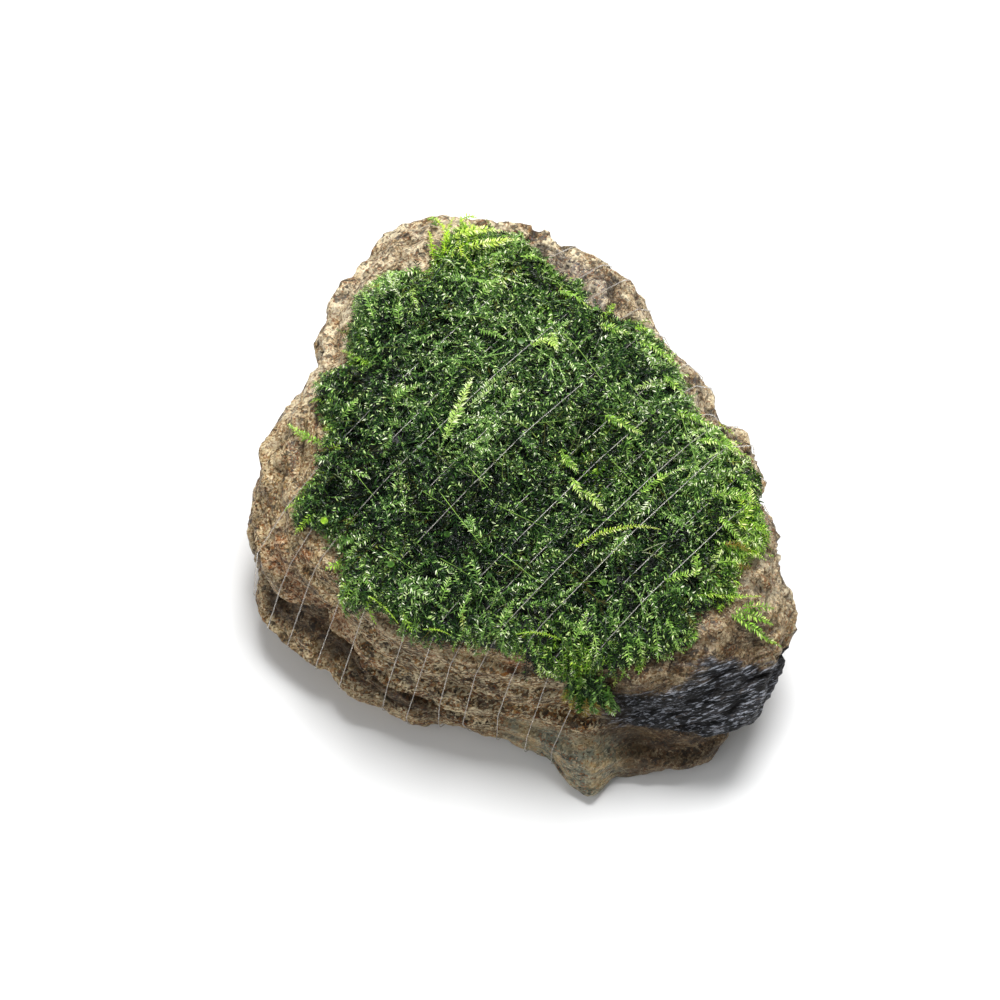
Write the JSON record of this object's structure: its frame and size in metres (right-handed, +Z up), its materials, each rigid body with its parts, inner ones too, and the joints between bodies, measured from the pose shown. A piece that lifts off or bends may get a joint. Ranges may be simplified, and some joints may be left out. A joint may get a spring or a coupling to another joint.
{
  "type": "weeping moss on stone",
  "caption": "Flat natural stone with a mat of weeping moss over its top, held by turns of clear nylon thread.",
  "frame": {"origin": "middle of the footprint, on the surface that the stone rests on", "axes": "+Z up through the mat, +Y along the stone's longer way towards its far side, +X to the right"},
  "size_m": [0.0942, 0.1054, 0.0358],
  "materials": {
    "rock": "rough layered rock, damp in places",
    "moss": "dense wet leaflets",
    "young_moss": "fresh wet leaflets",
    "nylon": "clear smooth line"
  },
  "bodies": {
    "root": {"stone": "rock", "moss_mat": "moss", "hanging_tuft": "moss", "shoot_left": "young_moss", "shoot_back": "young_moss", "shoot_corner": "young_moss", "shoot_right_lower": "young_moss", "shoot_right_upper": "young_moss", "nylon_thread": "nylon"}
  },
  "joints": []
}
